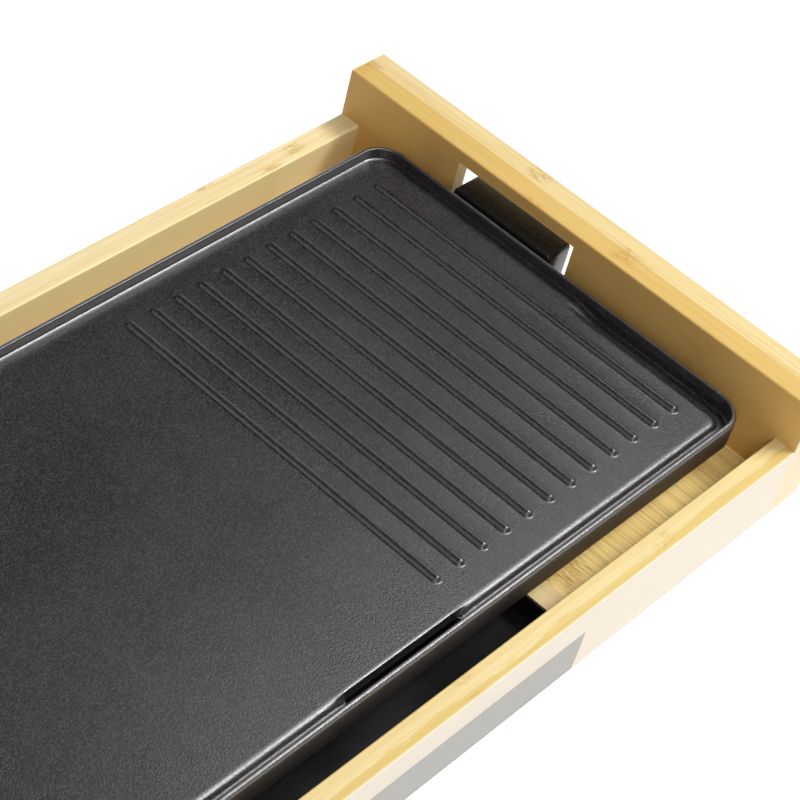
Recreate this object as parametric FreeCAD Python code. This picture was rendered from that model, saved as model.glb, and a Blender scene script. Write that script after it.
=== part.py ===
import FreeCAD, Part
import os
from FreeCAD import Vector

os.makedirs("parts", exist_ok=True)

# Electric table grill: a bamboo frame with a drip drawer and a cast hot plate.
# X runs to the right, Y to the back, Z up; the origin is under the middle of the frame, on the table.

# Clearances
sliding_gap = 0.6
seat_gap = 0.3
pin_gap = 0.05
screw_gap = 0.2

# Bamboo frame
frame_width = 527.0
frame_depth = 290.0
side_thick = 12.0
end_thick = 24.0
foot_height = 5.0
side_height = 41.8
end_height = 69.3
board_edge_radius = 1.0
floor_rise = 11.2
floor_thick = 8.0
floor_groove = 4.0
strip_width = 12.0
dowel_radius = 3.0
dowel_length = 36.0
dowel_margin = 6.5
foot_radius = 8.0
foot_inset = 22.0

# Slot and plug pocket of the right end board
slot_front_gap = 6.3
slot_back_gap = 5.8
slot_under_gap = 4.0
slot_over_gap = 7.8
slot_web = 8.3
pocket_margin = 15.0
pocket_bottom = 20.0
pocket_corner = 6.0

# Drip drawer
drawer_front_width = 180.0
drawer_front_height = 24.3
drawer_gap = 0.6
tray_length = 125.0
tray_depth = 12.6
tray_sheet = 0.8
tray_corner = 6.0
tray_lip = 1.2
finger_cove = 5.0
runner_width = 22.0
runner_ledge = 8.0
runner_foot = 4.0
stop_width = 14.0

# Hot plate
plate_side_gap = 11.5
plate_front_gap = 11.2
plate_back_gap = 23.4
plate_skirt_bottom = 46.4
plate_top = 60.9
rim_thick = 2.6
rim_stand = 6.5
rim_round = 1.0
well_round = 1.0
deck_thick = 5.9
outer_corner = 15.0
gutter_depth = 2.4
gutter_width_side = 7.9
gutter_width_front = 6.7
gutter_length = 102.8
gutter_ramp = 18.0
plateau_corner = 5.0
drain_length = 70.0
drain_width = 7.6
drain_ramp = 11.0
rib_count = 12
rib_pitch = 15.0
rib_side_margin = 22.5
rib_front_margin = 26.4
rib_back_margin = 20.1
rib_width = 4.8
rib_height = 1.7
rib_round = 1.2

# Heating element under the plate
element_radius = 3.3
element_rise = 44.5
element_spacing = 48.0
element_left_margin = 38.0
element_right_margin = 40.0
element_setback = 4.0
pin_spacing = 24.0
ridge_width = 10.0
clamp_reach = 75.0
clamp_length = 18.0
clamp_width = 9.0
clamp_sheet = 1.5
boss_radius = 4.0

# Plug socket
housing_length = 61.5
housing_offset = 34.05
housing_gap = 3.8
housing_reach = 17.2
housing_top = 59.3
housing_bottom = 36.0
housing_wall = 2.6
housing_back = 3.2
housing_round = 2.0
housing_boss = 8.0
housing_screw_spacing = 36.0
housing_screw_drop = 8.3
socket_lip = 2.0
pin_radius = 2.4
pin_reach = 14.0
insulator_radius = 4.6
insulator_length = 11.0
sleeve_outer = 3.6
sleeve_bore = 2.6
sleeve_length = 34.0
sleeve_floor = 2.0
bracket_sheet = 1.5
bracket_foot = 24.0
bracket_length = 50.0
bracket_screw_margin = 6.0
bracket_flange_drop = 5.2
earth_width = 6.0
earth_sheet = 0.8
earth_short = 3.0

# Heat shield and legs
shield_sheet = 0.8
shield_rise = 36.0
shield_flange = 6.0
shield_side_margin = 28.0
shield_front_margin = 14.05
shield_back_margin = 13.95
shield_screw_reach = 120.0
leg_radius = 6.5
leg_inset_x = 19.5
leg_inset_y = 24.0
leg_floor = 5.0
pad_thick = 2.5

# Screws
screw_radius = 1.5
screw_head_radius = 2.9
screw_head_height = 1.6
screw_bite = 7.0

# Places worked out from the sizes above
frame_right = frame_width / 2
frame_left = -frame_right
frame_back = frame_depth / 2
frame_front = -frame_back
inner_right = frame_right - end_thick
inner_left = -inner_right
inner_back = frame_back - side_thick
inner_front = -inner_back
board_bottom = foot_height
side_top = board_bottom + side_height
end_top = board_bottom + end_height
floor_bottom = board_bottom + floor_rise
floor_top = floor_bottom + floor_thick
drawer_half = drawer_front_width / 2
drawer_top = board_bottom + drawer_front_height
opening_half = drawer_half + 2 * sliding_gap
opening_back = inner_front + tray_length + seat_gap
tray_half = opening_half - sliding_gap
tray_top = floor_top
tray_bottom = tray_top - tray_depth
plate_right = inner_right - plate_side_gap
plate_left = -plate_right
plate_front = inner_front + plate_front_gap
plate_back = inner_back - plate_back_gap
deck_top = plate_top - rim_stand
deck_bottom = deck_top - deck_thick
gutter_floor = deck_top - gutter_depth
cavity_right = plate_right - rim_thick
cavity_front = plate_front + rim_thick
cavity_back = plate_back - rim_thick
inner_corner = outer_corner - rim_thick
plateau_right = cavity_right - gutter_width_side
plateau_front = cavity_front + gutter_width_front
housing_middle = housing_offset
housing_front = housing_middle - housing_length / 2
housing_start = plate_right + housing_gap
slot_front = housing_front - slot_front_gap
slot_back = housing_front + housing_length + slot_back_gap
slot_bottom = housing_bottom - slot_under_gap
slot_top = housing_top + slot_over_gap
rib_first = plate_right - rib_side_margin - (rib_count - 1) * rib_pitch
rib_front = plate_front + rib_front_margin
rib_back = plate_back - rib_back_margin
gutter_start = plate_front + gutter_length
element_left = plate_left + element_left_margin
element_right = plate_right - element_right_margin
shield_half_width = plate_right - shield_side_margin
housing_end = housing_start + housing_reach
housing_screw_rise = housing_top - housing_screw_drop
pin_front = housing_middle - pin_spacing / 2
pin_back = housing_middle + pin_spacing / 2
shield_front = pin_front - 2 * element_spacing - shield_front_margin
shield_back = pin_back + pin_spacing + shield_back_margin
element_end = plate_right - element_setback
insulator_start = housing_start + housing_back + socket_lip - insulator_length
sleeve_start = housing_start + housing_back + socket_lip - sleeve_length
clamp_top = element_rise - element_radius
shield_top = shield_rise + shield_sheet


def box(x0, x1, y0, y1, z0, z1):
    return Part.makeBox(x1 - x0, y1 - y0, z1 - z0, Vector(x0, y0, z0))


def rod(x, y, z, radius, length, direction=Vector(0, 0, 1)):
    return Part.makeCylinder(radius, length, Vector(x, y, z), direction)


def edges_along(shape, axis):
    # straight edges that run along one axis
    found = []
    for edge in shape.Edges:
        if len(edge.Vertexes) != 2:
            continue
        step = edge.Vertexes[1].Point.sub(edge.Vertexes[0].Point)
        if step.Length > 0 and abs(abs(step.dot(axis)) - step.Length) < 1e-6 and edge.Curve.TypeId == "Part::GeomLine":
            found.append(edge)
    return found


def rounded_box(x0, x1, y0, y1, z0, z1, radius):
    solid = box(x0, x1, y0, y1, z0, z1)
    return solid.makeFillet(radius, edges_along(solid, Vector(0, 0, 1)))


def eased(shape, radius, axis, keep):
    # round the edges along one axis whose middle passes the test
    chosen = [edge for edge in edges_along(shape, axis) if keep(edge.CenterOfMass)]
    return shape.makeFillet(radius, chosen)


def stadium(x0, x1, y, width, z0, z1):
    # a bar with round ends along X
    radius = width / 2
    bar = box(x0 + radius, x1 - radius, y - radius, y + radius, z0, z1)
    for x in (x0 + radius, x1 - radius):
        bar = bar.fuse(rod(x, y, z0, radius, z1 - z0))
    return bar.removeSplitter()


def screw(x, y, z, length, direction):
    # the head's underside is at the given point and the shank runs along the direction
    shank = rod(x, y, z, screw_radius, length, direction)
    back = direction.multiply(-1)
    head = Part.makeCylinder(screw_head_radius, screw_head_height, Vector(x, y, z), back)
    head = head.makeFillet(0.5 * screw_head_height, [head.Edges[0]])
    return shank.fuse(head).removeSplitter()


def save(name, solids):
    shape = solids[0] if len(solids) == 1 else Part.makeCompound(solids)
    shape.exportStep("parts/" + name + ".step")


up = Vector(0, 0, 1)
x_axis = Vector(1, 0, 0)
y_axis = Vector(0, 1, 0)

# Places of repeated fasteners
foot_places = []
for foot_x in (frame_left + end_thick / 2, frame_right - end_thick / 2):
    for foot_y in (frame_front + foot_inset, frame_back - foot_inset):
        foot_places.append((foot_x, foot_y))

dowel_heights = (floor_top + dowel_margin, side_top - dowel_margin)
dowel_rows = (frame_front + side_thick / 2, frame_back - side_thick / 2)

runner_screw_rows = (inner_front + 0.2 * tray_length, inner_front + 0.8 * tray_length)
runner_outer = opening_half + strip_width + runner_width / 2
runner_screw_line = runner_outer - runner_width / 3
runner_inner = tray_half - runner_ledge
runner_top = floor_bottom
ledge_top = tray_bottom - seat_gap

leg_places = []
for leg_x in (plate_left + leg_inset_x, plate_right - leg_inset_x):
    for leg_y in (plate_front + leg_inset_y, plate_back - leg_inset_y):
        leg_places.append((leg_x, leg_y))


def cut_floor_groove(board):
    groove = box(inner_left - floor_groove, inner_right + floor_groove,
                 inner_front - floor_groove, inner_back + floor_groove, floor_bottom, floor_top)
    return board.cut(groove)


def cut_dowels(board):
    for side in (-1, 1):
        for y in dowel_rows:
            for z in dowel_heights:
                middle = side * inner_right
                hole = rod(middle - dowel_length / 2 - pin_gap, y, z, dowel_radius + pin_gap,
                           dowel_length + 2 * pin_gap, x_axis)
                board = board.cut(hole)
    return board


def side_board(y0, y1):
    board = box(inner_left, inner_right, y0, y1, board_bottom, side_top)
    return eased(board, board_edge_radius, x_axis, lambda p: p.z > side_top - 1)


def front_board():
    board = cut_dowels(cut_floor_groove(side_board(frame_front, inner_front)))
    notch_half = drawer_half + drawer_gap
    notch = box(-notch_half, notch_half, frame_front - 1, inner_front + 1,
                board_bottom - 1, drawer_top + drawer_gap)
    passage = box(-opening_half, opening_half, inner_front - floor_groove - 1, inner_front + 1,
                  board_bottom - 1, drawer_top + drawer_gap)
    return board.cut(notch).cut(passage)


def back_board():
    return cut_dowels(cut_floor_groove(side_board(inner_back, frame_back)))


def end_board(x0, x1):
    board = box(x0, x1, frame_front, frame_back, board_bottom, end_top)
    board = eased(board, board_edge_radius, y_axis, lambda p: p.z > end_top - 1)
    board = cut_dowels(cut_floor_groove(board))
    for x, y in foot_places:
        board = board.cut(rod(x, y, board_bottom, screw_radius, 2 * screw_bite))
    return board


def right_end_board():
    board = end_board(inner_right, frame_right)
    slot = box(inner_right - 1, frame_right + 1, slot_front, slot_back, slot_bottom, slot_top)
    pocket = box(inner_right + slot_web, frame_right + 2 * pocket_corner,
                 slot_front - pocket_margin, slot_back + pocket_margin, pocket_bottom, slot_top)
    pocket = pocket.makeFillet(pocket_corner, edges_along(pocket, x_axis))
    return board.cut(slot).cut(pocket)


def floor_side(side):
    inner = opening_half + strip_width
    outer = inner_right + floor_groove
    panel = box(inner, outer, inner_front - floor_groove, inner_back + floor_groove, floor_bottom, floor_top)
    screw_length = screw_bite
    for y in runner_screw_rows:
        panel = panel.cut(rod(runner_screw_line, y, floor_bottom, screw_radius, screw_length))
    if side < 0:
        panel = panel.mirror(Vector(0, 0, 0), x_axis)
    return panel


def floor_strip(side):
    inner = opening_half
    strip = box(inner, inner + strip_width, inner_front - floor_groove, inner_back + floor_groove,
                floor_bottom, floor_top)
    if side < 0:
        strip = strip.mirror(Vector(0, 0, 0), x_axis)
    return strip


def floor_rear():
    return box(-opening_half, opening_half, opening_back, inner_back + floor_groove, floor_bottom, floor_top)


def runner(side):
    # a batten with a ledge that carries the tray
    block = box(opening_half, runner_outer, inner_front + seat_gap, opening_back + stop_width, board_bottom + 1, runner_top)
    ledge = box(runner_inner, opening_half, inner_front + seat_gap, opening_back, ledge_top - runner_foot, ledge_top)
    batten = block.fuse(ledge).removeSplitter()
    for y in runner_screw_rows:
        batten = batten.cut(rod(runner_screw_line, y, board_bottom, screw_radius + screw_gap, floor_thick * 3))
        batten = batten.cut(rod(runner_screw_line, y, board_bottom, screw_head_radius + screw_gap,
                                1 + screw_head_height + screw_gap))
    if side < 0:
        batten = batten.mirror(Vector(0, 0, 0), x_axis)
    return batten


def runner_screws():
    solids = []
    start = board_bottom + 1 + screw_head_height + screw_gap
    length = floor_bottom - start + screw_bite
    for side in (-1, 1):
        for y in runner_screw_rows:
            solids.append(screw(side * runner_screw_line, y, start, length, Vector(0, 0, 1)))
    return solids


def tray_stop():
    return box(-opening_half, opening_half, opening_back, opening_back + stop_width, board_bottom + 1, floor_bottom)


def corner_dowels():
    solids = []
    for side in (-1, 1):
        for y in dowel_rows:
            for z in dowel_heights:
                peg = rod(side * inner_right - dowel_length / 2, y, z, dowel_radius, dowel_length, x_axis)
                solids.append(peg.makeChamfer(dowel_radius / 5, [peg.Edges[0], peg.Edges[2]]))
    return solids


def rubber_feet():
    solids = []
    for x, y in foot_places:
        foot = Part.makeCone(foot_radius - 1, foot_radius, foot_height, Vector(x, y, 0))
        bore = rod(x, y, 0, screw_radius + screw_gap, foot_height)
        sink = rod(x, y, 0, screw_head_radius + screw_gap, foot_height / 2)
        solids.append(foot.cut(bore).cut(sink))
    return solids


def foot_screws():
    start = foot_height / 2
    return [screw(x, y, start, foot_height - start + screw_bite, Vector(0, 0, 1)) for x, y in foot_places]


tray_front_wall = inner_front
tray_back_wall = tray_front_wall + tray_length
tray_screw_places = (-0.6 * drawer_half, 0.6 * drawer_half)
tray_screw_height = (tray_bottom + tray_top) / 2


def drip_tray():
    outer = rounded_box(-tray_half, tray_half, tray_front_wall, tray_back_wall, tray_bottom, tray_top, tray_corner)
    base = [edge for edge in outer.Edges if abs(edge.BoundBox.ZMax - tray_bottom) < 1e-6]
    outer = outer.makeFillet(tray_corner / 3, base)
    hollow = rounded_box(-tray_half + tray_sheet, tray_half - tray_sheet, tray_front_wall + tray_sheet,
                         tray_back_wall - tray_sheet, tray_bottom + tray_sheet, tray_top + tray_depth,
                         tray_corner - tray_sheet)
    base = [edge for edge in hollow.Edges if abs(edge.BoundBox.ZMax - tray_bottom - tray_sheet) < 1e-6]
    hollow = hollow.makeFillet(tray_corner / 3 - tray_sheet / 2, base)
    tray = outer.cut(hollow)
    for x in tray_screw_places:
        tray = tray.cut(rod(x, tray_front_wall - 1, tray_screw_height, screw_radius + screw_gap, tray_sheet + 2, y_axis))
    return tray


def drip_tray_front():
    panel = box(-drawer_half, drawer_half, frame_front, inner_front, board_bottom, drawer_top)
    cove = rod(-drawer_half / 3, inner_front, board_bottom, finger_cove, 2 * drawer_half / 3, x_axis)
    panel = panel.cut(cove)
    for x in tray_screw_places:
        panel = panel.cut(rod(x, inner_front, tray_screw_height, screw_radius, screw_bite, Vector(0, -1, 0)))
    return panel


def tray_screws():
    return [screw(x, tray_front_wall + tray_sheet, tray_screw_height, screw_bite, Vector(0, -1, 0))
            for x in tray_screw_places]


def rounded_path(points, radii):
    # a flat wire of straight runs joined by tangent arcs at right angles
    edges = []
    last = points[0]
    for i in range(1, len(points) - 1):
        corner = points[i]
        before = points[i - 1].sub(corner).normalize()
        after = points[i + 1].sub(corner).normalize()
        radius = radii[i - 1]
        start = corner.add(Vector(before).multiply(radius))
        end = corner.add(Vector(after).multiply(radius))
        centre = start.add(Vector(after).multiply(radius))
        inward = corner.sub(centre).normalize().multiply(radius)
        middle = centre.add(inward)
        if last.distanceToPoint(start) > 1e-6:
            edges.append(Part.LineSegment(last, start).toShape())
        edges.append(Part.Arc(start, middle, end).toShape())
        last = end
    edges.append(Part.LineSegment(last, points[-1]).toShape())
    return Part.Wire(edges)


def element_path():
    run = element_spacing
    top = pin_back + pin_spacing
    low = pin_front - 2 * run
    turn = run / 2
    bend = pin_spacing / 2
    jog = element_right + bend
    corners = [(element_end, pin_front), (element_left + 2 * bend, pin_front), (element_left + 2 * bend, pin_front - run),
               (element_right, pin_front - run), (element_right, low), (element_left, low),
               (element_left, top), (jog, top), (jog, pin_back), (element_end, pin_back)]
    points = [Vector(x, y, element_rise) for x, y in corners]
    return rounded_path(points, [turn, turn, turn, turn, turn, turn, bend, bend])


def element_tube(radius):
    path = element_path()
    start = path.Vertexes[0].Point
    profile = Part.Wire([Part.makeCircle(radius, start, x_axis)])
    return path.makePipeShell([profile], True, False)


def heating_element():
    return element_tube(element_radius)


def element_ridge():
    path = element_path()
    start = path.Vertexes[0].Point
    half = ridge_width / 2
    corners = [Vector(start.x, start.y + y, z) for y, z in
               ((-half, element_rise), (half, element_rise), (half, deck_bottom + 1), (-half, deck_bottom + 1))]
    profile = Part.makePolygon(corners + [corners[0]])
    return path.makePipeShell([profile], True, False)


clamp_rows = [pin_front, pin_front - element_spacing, pin_front - 2 * element_spacing, pin_back + pin_spacing]
clamp_places = [(x, y) for y in clamp_rows for x in (-clamp_reach, clamp_reach)]
clamp_boss_shift = ridge_width / 2 + boss_radius
shield_screw_rows = (pin_front - 1.5 * element_spacing, (pin_back + pin_front + pin_spacing) / 2)
shield_screw_places = [(x, y) for y in shield_screw_rows for x in (-shield_screw_reach, shield_screw_reach)]
bracket_start = housing_start - bracket_sheet - bracket_foot
bracket_top_face = element_rise - insulator_radius - seat_gap
bracket_screw_rows = (housing_middle - 0.4 * bracket_length, housing_middle + 0.4 * bracket_length)
bracket_screw_line = bracket_start + bracket_screw_margin
housing_screw_places = [(housing_middle - housing_screw_spacing / 2, housing_screw_rise),
                        (housing_middle + housing_screw_spacing / 2, housing_screw_rise)]


def rib(x):
    bar = stadium(rib_front - rib_width / 2, rib_back + rib_width / 2, 0, rib_width,
                  deck_top - rib_height, deck_top + rib_height)
    crown = [edge for edge in bar.Edges if abs(edge.BoundBox.ZMin - deck_top - rib_height) < 1e-6]
    bar = bar.makeFillet(rib_round, crown)
    bar.rotate(Vector(0, 0, 0), up, 90)
    bar.translate(Vector(x, 0, 0))
    return bar


def gutter():
    # the channel inside the front wall and along the front of both side walls
    channel = rounded_box(-cavity_right, cavity_right, cavity_front, cavity_back, gutter_floor,
                          deck_top + 1, inner_corner)
    plateau = rounded_box(-plateau_right, plateau_right, plateau_front, cavity_back + inner_corner,
                          gutter_floor, deck_top + 1, plateau_corner)
    behind = box(plate_left, plate_right, gutter_start - gutter_ramp, plate_back, gutter_floor, deck_top + 1)
    channel = channel.cut(plateau).cut(behind)
    for side in (-1, 1):
        start = min(side * plateau_right, side * cavity_right)
        corners = [Vector(start, gutter_start - gutter_ramp, gutter_floor),
                   Vector(start, gutter_start - gutter_ramp, deck_top + 1),
                   Vector(start, gutter_start, deck_top + 1),
                   Vector(start, gutter_start, deck_top)]
        wedge = Part.Face(Part.makePolygon(corners + [corners[0]]))
        channel = channel.fuse(wedge.extrude(Vector(gutter_width_side, 0, 0)))
    return channel


def drain():
    # a slot through the channel's floor, with a short ramp at each end
    middle = cavity_front + drain_width / 2 + seat_gap
    cut = stadium(-drain_length / 2, drain_length / 2, middle, drain_width, deck_bottom - 1, deck_top + 1)
    for side in (-1, 1):
        edge = side * (drain_length / 2 - drain_width / 2)
        tip = side * (drain_length / 2 + drain_ramp)
        corners = [Vector(edge, cavity_front, gutter_floor), Vector(tip, cavity_front, gutter_floor),
                   Vector(edge, cavity_front, gutter_floor - gutter_depth / 2)]
        wedge = Part.Face(Part.makePolygon(corners + [corners[0]]))
        cut = cut.fuse(wedge.extrude(Vector(0, gutter_width_front, 0)))
    return cut


def grill_plate():
    body = rounded_box(plate_left, plate_right, plate_front, plate_back, plate_skirt_bottom, plate_top, outer_corner)
    rim = [edge for edge in body.Edges if abs(edge.BoundBox.ZMin - plate_top) < 1e-6]
    body = body.makeFillet(rim_round, rim)
    well = rounded_box(-cavity_right, cavity_right, cavity_front, cavity_back, deck_top, plate_top + 1, inner_corner)
    foot = [edge for edge in well.Edges if abs(edge.BoundBox.ZMax - deck_top) < 1e-6]
    well = well.makeFillet(well_round, foot)
    under = rounded_box(-cavity_right, cavity_right, cavity_front, cavity_back, plate_skirt_bottom - 1,
                        deck_bottom, inner_corner)
    body = body.cut(well).cut(under).cut(gutter()).cut(drain())
    ribs = [rib(rib_first + i * rib_pitch) for i in range(rib_count)]
    body = body.multiFuse(ribs)
    bosses = [element_ridge()]
    for x, y in clamp_places:
        bosses.append(rod(x, y + clamp_boss_shift, clamp_top, boss_radius, deck_bottom + 1 - clamp_top))
    for x, y in shield_screw_places:
        bosses.append(rod(x, y, shield_top, boss_radius, deck_bottom + 1 - shield_top))
    for y in bracket_screw_rows:
        bosses.append(rod(bracket_screw_line, y, bracket_top_face, boss_radius, deck_bottom + 1 - bracket_top_face))
    for x, y in leg_places:
        bosses.append(rod(x, y, plate_skirt_bottom, leg_radius, deck_bottom + 1 - plate_skirt_bottom))
    cradle = box(sleeve_start, cavity_right, housing_middle - sleeve_outer - sleeve_floor,
                 housing_middle + sleeve_outer + sleeve_floor, element_rise, deck_bottom + 1)
    bosses.append(cradle)
    body = body.multiFuse(bosses)
    body = body.cut(element_tube(element_radius + pin_gap))
    body = body.cut(rod(sleeve_start - pin_gap, housing_middle, element_rise, sleeve_outer + pin_gap,
                        sleeve_length + end_thick, x_axis))
    notch = box(cavity_right - rim_thick, plate_right + 1, pin_front - ridge_width, pin_back + ridge_width,
                plate_skirt_bottom - 1, element_rise + insulator_radius + seat_gap)
    body = body.cut(notch)
    for x, y in clamp_places:
        body = body.cut(rod(x, y + clamp_boss_shift, clamp_top, screw_radius, screw_bite))
    for x, y in shield_screw_places:
        body = body.cut(rod(x, y, shield_top, screw_radius, screw_bite))
    for y in bracket_screw_rows:
        body = body.cut(rod(bracket_screw_line, y, bracket_top_face, screw_radius, screw_bite))
    for x, y in leg_places:
        body = body.cut(rod(x, y, plate_skirt_bottom, screw_radius, deck_bottom - plate_skirt_bottom + 2))
    return body.removeSplitter()


def element_clamps():
    solids = []
    for x, y in clamp_places:
        strap = rounded_box(x - clamp_width / 2, x + clamp_width / 2, y + clamp_boss_shift + boss_radius - clamp_length,
                            y + clamp_boss_shift + boss_radius, clamp_top - clamp_sheet, clamp_top, 2.0)
        solids.append(strap.cut(rod(x, y + clamp_boss_shift, clamp_top - 2 * clamp_sheet,
                                    screw_radius + screw_gap, 3 * clamp_sheet)))
    return solids


def clamp_screws():
    start = clamp_top - clamp_sheet
    return [screw(x, y + clamp_boss_shift, start, clamp_sheet + screw_bite - 1, Vector(0, 0, 1)) for x, y in clamp_places]


def heat_shield():
    pan = box(-shield_half_width, shield_half_width, shield_front, shield_back, shield_rise, shield_top)
    for y in (shield_front, shield_back - shield_sheet):
        pan = pan.fuse(box(-shield_half_width, shield_half_width, y, y + shield_sheet, shield_rise,
                           shield_rise + shield_flange))
    for x, y in shield_screw_places:
        pan = pan.cut(rod(x, y, shield_rise - 1, screw_radius + screw_gap, shield_sheet + 2))
    return pan.removeSplitter()


def shield_screws():
    return [screw(x, y, shield_rise, shield_sheet + screw_bite - 1, Vector(0, 0, 1)) for x, y in shield_screw_places]


def plate_legs():
    solids = []
    for x, y in leg_places:
        leg = rod(x, y, floor_top + pad_thick, leg_radius, plate_skirt_bottom - floor_top - pad_thick)
        leg = leg.cut(rod(x, y, floor_top, screw_radius + screw_gap, plate_skirt_bottom))
        sink = plate_skirt_bottom - floor_top - pad_thick - leg_floor
        solids.append(leg.cut(rod(x, y, floor_top, screw_head_radius + screw_gap, sink + pad_thick)))
    return solids


def leg_screws():
    start = plate_skirt_bottom - leg_floor
    length = leg_floor + deck_bottom - plate_skirt_bottom + 1
    return [screw(x, y, start, length, Vector(0, 0, 1)) for x, y in leg_places]


def leg_pads():
    solids = []
    for x, y in leg_places:
        disc = rod(x, y, floor_top, leg_radius, pad_thick)
        plug = rod(x, y, floor_top + pad_thick, screw_head_radius, pad_thick)
        solids.append(disc.fuse(plug).removeSplitter())
    return solids


def socket_bracket():
    foot = box(bracket_start, housing_start, housing_middle - bracket_length / 2, housing_middle + bracket_length / 2,
               bracket_top_face - bracket_sheet, bracket_top_face)
    flange = box(housing_start - bracket_sheet, housing_start, housing_middle - bracket_length / 2,
                 housing_middle + bracket_length / 2, bracket_top_face - bracket_sheet, housing_top - bracket_flange_drop)
    angle = foot.fuse(flange).removeSplitter()
    for y in (pin_front, pin_back):
        angle = angle.cut(rod(housing_start - 2 * bracket_sheet, y, element_rise, insulator_radius + pin_gap,
                              3 * bracket_sheet, x_axis))
    angle = angle.cut(rod(housing_start - 2 * bracket_sheet, housing_middle, element_rise, sleeve_outer + pin_gap,
                          3 * bracket_sheet, x_axis))
    for y in bracket_screw_rows:
        angle = angle.cut(rod(bracket_screw_line, y, bracket_top_face - 2 * bracket_sheet,
                              screw_radius + screw_gap, 3 * bracket_sheet))
    for y, z in housing_screw_places:
        angle = angle.cut(rod(housing_start - 2 * bracket_sheet, y, z, screw_radius + screw_gap,
                              3 * bracket_sheet, x_axis))
    return angle


def bracket_screws():
    start = bracket_top_face - bracket_sheet
    return [screw(bracket_screw_line, y, start, bracket_sheet + screw_bite - 1, Vector(0, 0, 1))
            for y in bracket_screw_rows]


def socket_housing():
    shell = box(housing_start, housing_end, housing_front, housing_front + housing_length, housing_bottom, housing_top)
    shell = shell.makeFillet(housing_round, edges_along(shell, x_axis))
    hollow = box(housing_start + housing_back, housing_end + 1, housing_front + housing_wall,
                 housing_front + housing_length - housing_wall, housing_bottom + housing_wall,
                 housing_top - housing_wall)
    shell = shell.cut(hollow)
    for y, z in housing_screw_places:
        shell = shell.fuse(rod(housing_start + 0.5 * housing_back, y, z, boss_radius, housing_boss, x_axis))
        shell = shell.cut(rod(housing_start, y, z, screw_radius, screw_bite, x_axis))
    for y in (pin_front, pin_back):
        shell = shell.cut(rod(housing_start - 1, y, element_rise, insulator_radius + pin_gap,
                              housing_back + 2, x_axis))
    shell = shell.cut(rod(housing_start - 1, housing_middle, element_rise, sleeve_outer + pin_gap,
                          housing_back + 2, x_axis))
    earth = box(housing_start - 1, housing_start + housing_back + 1, housing_middle - earth_width / 2 - pin_gap,
                housing_middle + earth_width / 2 + pin_gap, bracket_top_face - earth_sheet - pin_gap,
                bracket_top_face + pin_gap)
    return shell.cut(earth).removeSplitter()


def socket_housing_upper():
    keep = box(housing_start - 1, housing_end + 1, housing_front - 1, housing_front + housing_length + 1,
               element_rise, housing_top + 1)
    return socket_housing().common(keep)


def socket_housing_lower():
    keep = box(housing_start - 1, housing_end + 1, housing_front - 1, housing_front + housing_length + 1,
               housing_bottom - 1, element_rise)
    return socket_housing().common(keep)


def housing_screws():
    return [screw(housing_start - bracket_sheet, y, z, bracket_sheet + screw_bite - 1, Vector(1, 0, 0))
            for y, z in housing_screw_places]


def terminal_insulators():
    solids = []
    for y in (pin_front, pin_back):
        bush = rod(insulator_start, y, element_rise, insulator_radius, insulator_length, x_axis)
        bush = bush.cut(rod(insulator_start - 1, y, element_rise, pin_radius + pin_gap, insulator_length + 2, x_axis))
        solids.append(bush)
    return solids


def contact_pins():
    solids = []
    length = housing_start + pin_reach - element_end
    for y in (pin_front, pin_back):
        pin = rod(element_end, y, element_rise, pin_radius, length, x_axis)
        tip = [edge for edge in pin.Edges if abs(edge.BoundBox.XMin - element_end - length) < 1e-6]
        solids.append(pin.makeFillet(pin_radius / 3, tip))
    return solids


def probe_sleeve():
    tube = rod(sleeve_start, housing_middle, element_rise, sleeve_outer, sleeve_length, x_axis)
    return tube.cut(rod(sleeve_start + sleeve_floor, housing_middle, element_rise, sleeve_bore, sleeve_length, x_axis))


def earth_contact():
    strip = box(housing_start, housing_start + pin_reach - earth_short, housing_middle - earth_width / 2,
                housing_middle + earth_width / 2, bracket_top_face - earth_sheet, bracket_top_face)
    return strip


save("front_board", [front_board()])
save("back_board", [back_board()])
save("left_end_board", [end_board(frame_left, inner_left)])
save("right_end_board", [right_end_board()])
save("floor_panel_left", [floor_side(-1)])
save("floor_panel_right", [floor_side(1)])
save("floor_panel_rear", [floor_rear()])
save("floor_strip_left", [floor_strip(-1)])
save("floor_strip_right", [floor_strip(1)])
save("corner_dowels", corner_dowels())
save("rubber_feet", rubber_feet())
save("foot_screws", foot_screws())
save("tray_runner_left", [runner(-1)])
save("tray_runner_right", [runner(1)])
save("runner_screws", runner_screws())
save("tray_stop", [tray_stop()])
save("drip_tray", [drip_tray()])
save("drip_tray_front", [drip_tray_front()])
save("tray_screws", tray_screws())
save("grill_plate", [grill_plate()])
save("heating_element", [heating_element()])
save("element_clamps", element_clamps())
save("clamp_screws", clamp_screws())
save("heat_shield", [heat_shield()])
save("shield_screws", shield_screws())
save("plate_legs", plate_legs())
save("leg_pads", leg_pads())
save("leg_screws", leg_screws())
save("socket_bracket", [socket_bracket()])
save("bracket_screws", bracket_screws())
save("socket_housing_upper", [socket_housing_upper()])
save("socket_housing_lower", [socket_housing_lower()])
save("housing_screws", housing_screws())
save("terminal_insulators", terminal_insulators())
save("contact_pins", contact_pins())
save("probe_sleeve", [probe_sleeve()])
save("earth_contact", [earth_contact()])
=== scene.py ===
import math
import bpy
import bmesh
from mathutils import Matrix, Vector


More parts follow.
